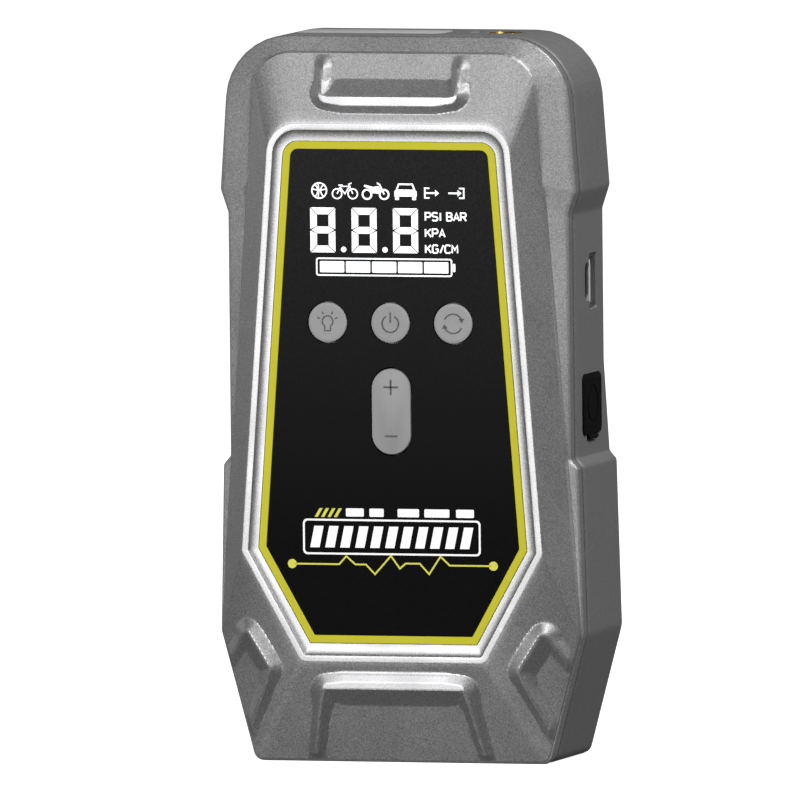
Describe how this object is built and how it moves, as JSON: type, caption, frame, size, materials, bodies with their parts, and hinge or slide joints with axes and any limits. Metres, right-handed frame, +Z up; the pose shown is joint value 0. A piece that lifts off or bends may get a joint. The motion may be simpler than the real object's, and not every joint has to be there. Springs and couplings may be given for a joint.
{
  "type": "portable jump starter",
  "caption": "Handheld jump starter and tyre pump with display, push buttons, lamp, air outlet, charging ports and a covered jump lead socket.",
  "frame": {"origin": "on the floor under the middle of the case", "axes": "+Z up, the display faces -Y, the charging ports face +X"},
  "size_m": [0.1018, 0.0506, 0.196],
  "materials": {
    "case_metal": "satin metallic paint",
    "case_grey": "fine matte",
    "accent": "satin",
    "window": "smoked, semi-matte",
    "glow": "lit segments",
    "print_yellow": "screen print",
    "print_white": "screen print",
    "key": "silicone, matte",
    "dark_plastic": "moulded",
    "steel": "plated",
    "board": "solder mask",
    "chip": "moulded",
    "lens": "frosted",
    "reflector": "bright",
    "led": "phosphor",
    "brass": "turned",
    "rubber": "matte",
    "white_plastic": "moulded",
    "socket": "moulded",
    "cell": "heat-shrink sleeve",
    "copper": "enamelled wire",
    "alloy": "die cast",
    "magnet": "ferrite",
    "nylon": "moulded",
    "ptfe": "filled"
  },
  "bodies": {
    "case": {"front_shell": "case_metal", "rear_shell": "case_grey", "case_screws": "steel", "accent_frame": "accent", "display_window": "window", "display_figures": "glow", "charge_gauge": "glow", "display_marks": "glow", "window_trim": "print_yellow", "window_badge": "print_white", "display_module": "dark_plastic", "main_board": "board", "board_screws": "steel", "board_chips": "chip", "tact_switches": "dark_plastic", "rocker_pin": "steel", "rocker_yoke": "dark_plastic", "lamp_lens": "lens", "lamp_reflector": "reflector", "lamp_board": "board", "lamp_leds": "led", "status_light": "lens", "air_outlet": "brass", "outlet_hose": "rubber", "usb_a_shell": "steel", "usb_a_tongue": "white_plastic", "usb_c_shell": "steel", "usb_c_tongue": "dark_plastic", "port_board": "board", "jump_socket": "socket", "jump_contacts": "brass", "battery_cells": "cell", "cell_holders": "dark_plastic", "busbars": "steel", "power_board": "board", "power_switches": "chip", "power_coil": "copper", "motor_can": "steel", "motor_magnets": "magnet", "motor_end_cap": "dark_plastic", "pump_bracket": "alloy", "motor_screws": "steel", "pump_cylinder": "alloy", "cylinder_head": "alloy", "head_screws": "steel", "pressure_sensor": "chip"},
    "light_key": {"light_button": "key"},
    "power_key": {"power_button": "key"},
    "mode_key": {"mode_button": "key"},
    "rocker_key": {"adjust_rocker": "key"},
    "cover": {"port_cover": "rubber"},
    "motor_spindle": {"motor_shaft": "steel", "motor_rotor": "copper", "pinion": "brass"},
    "crank": {"crank_gear": "nylon", "crank_shaft": "steel"},
    "piston": {"pump_piston": "alloy", "piston_ring": "ptfe", "connecting_rod": "alloy", "crank_pin": "steel"}
  },
  "joints": [
    {"name": "light_key_press", "type": "slide", "parent": "case", "child": "light_key", "axis": [0, 1, 0], "range_m": [0, 0.0006], "stiffness_N_per_m": 1500, "springref_m": -0.0004},
    {"name": "power_key_press", "type": "slide", "parent": "case", "child": "power_key", "axis": [0, 1, 0], "range_m": [0, 0.0006], "stiffness_N_per_m": 1500, "springref_m": -0.0004},
    {"name": "mode_key_press", "type": "slide", "parent": "case", "child": "mode_key", "axis": [0, 1, 0], "range_m": [0, 0.0006], "stiffness_N_per_m": 1500, "springref_m": -0.0004},
    {"name": "rocker_tilt", "type": "hinge", "parent": "case", "child": "rocker_key", "pos_m": [0, -0.02065, 0.0953], "axis": [1, 0, 0], "range_deg": [-2.5, 2.5], "stiffness_Nm_per_rad": 0.5},
    {"name": "cover_hinge", "type": "hinge", "parent": "case", "child": "cover", "pos_m": [0.048, 0.0039, 0.08715], "axis": [0, 1, 0], "range_deg": [0, 140]},
    {"name": "motor_spin", "type": "hinge", "parent": "case", "child": "motor_spindle", "pos_m": [-0.01, 0.0024, 0.1068], "axis": [-1, 0, 0], "continuous": true},
    {"name": "crank_spin", "type": "hinge", "parent": "case", "child": "crank", "pos_m": [-0.004, 0.0024, 0.126], "axis": [1, 0, 0], "continuous": true},
    {"name": "piston_slide", "type": "slide", "parent": "case", "child": "piston", "axis": [0, 0, 1], "range_m": [-0.01, 0]}
  ],
  "couplings": [
    {"joint": "motor_spin", "follows": "crank_spin", "ratio": 3}
  ]
}
